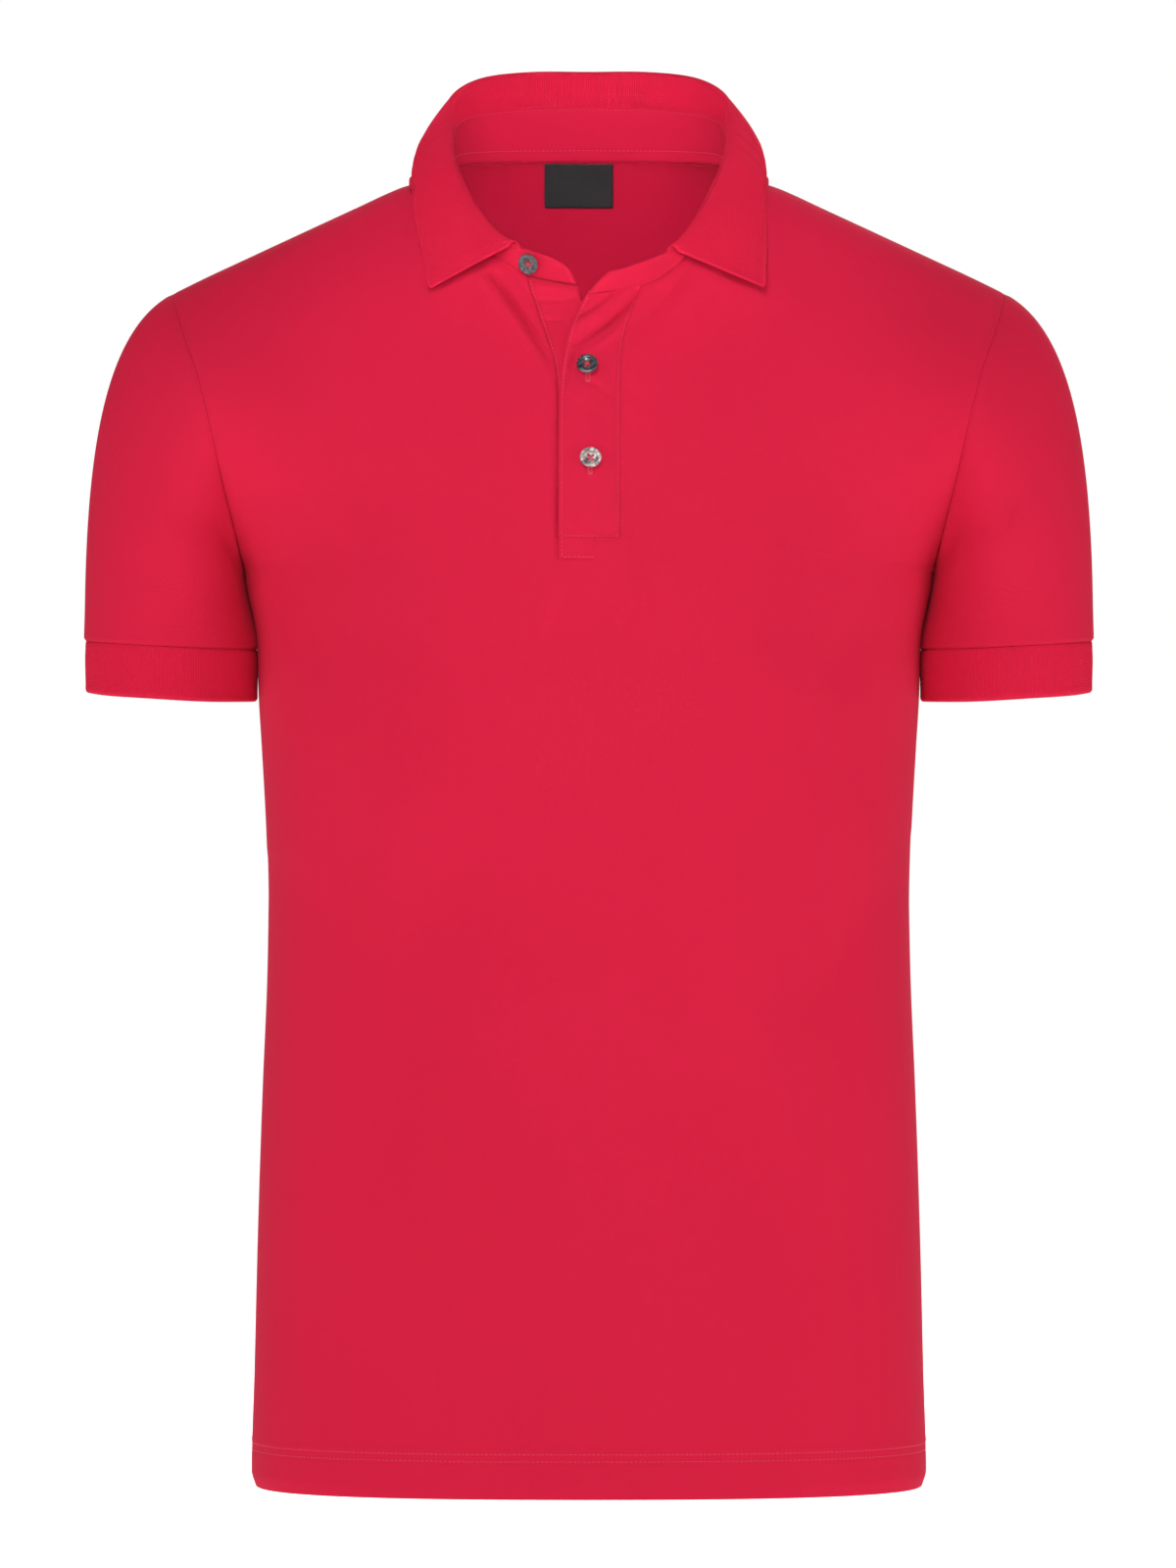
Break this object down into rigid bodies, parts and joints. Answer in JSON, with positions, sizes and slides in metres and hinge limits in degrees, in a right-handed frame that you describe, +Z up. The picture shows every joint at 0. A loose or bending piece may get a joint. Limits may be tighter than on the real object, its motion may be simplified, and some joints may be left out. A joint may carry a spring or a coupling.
{
  "type": "polo shirt",
  "caption": "Hollow, filled-out short-sleeved polo shirt with a folded rib collar, an open buttoned placket and rib cuffs.",
  "frame": {"origin": "middle of the wearer's neck base, level with the two neck points, where the shirt hangs from neck and shoulders", "axes": "+Z up along the body, -Y to the front of the shirt, +X to the wearer's left"},
  "size_m": [0.5532, 0.2453, 0.7869],
  "materials": {
    "body_cloth": "fine raspberry-red pique knit, matt",
    "rib_knit": "raspberry-red rib knit, matt",
    "label": "black woven label, blank",
    "smoky_button": "smoky grey, mottled, polished",
    "pearl_button": "pearl grey, mottled, polished"
  },
  "bodies": {
    "root": {"front_panel": "body_cloth", "back_panel": "body_cloth", "sleeve_left": "body_cloth", "sleeve_right": "body_cloth", "cuff_left": "rib_knit", "cuff_right": "rib_knit", "collar_stand": "body_cloth", "collar_leaf": "rib_knit", "placket_upper": "body_cloth", "placket_under": "body_cloth", "neck_label": "label", "button_collar": "smoky_button", "button_upper": "smoky_button", "button_lower": "pearl_button"}
  },
  "joints": []
}
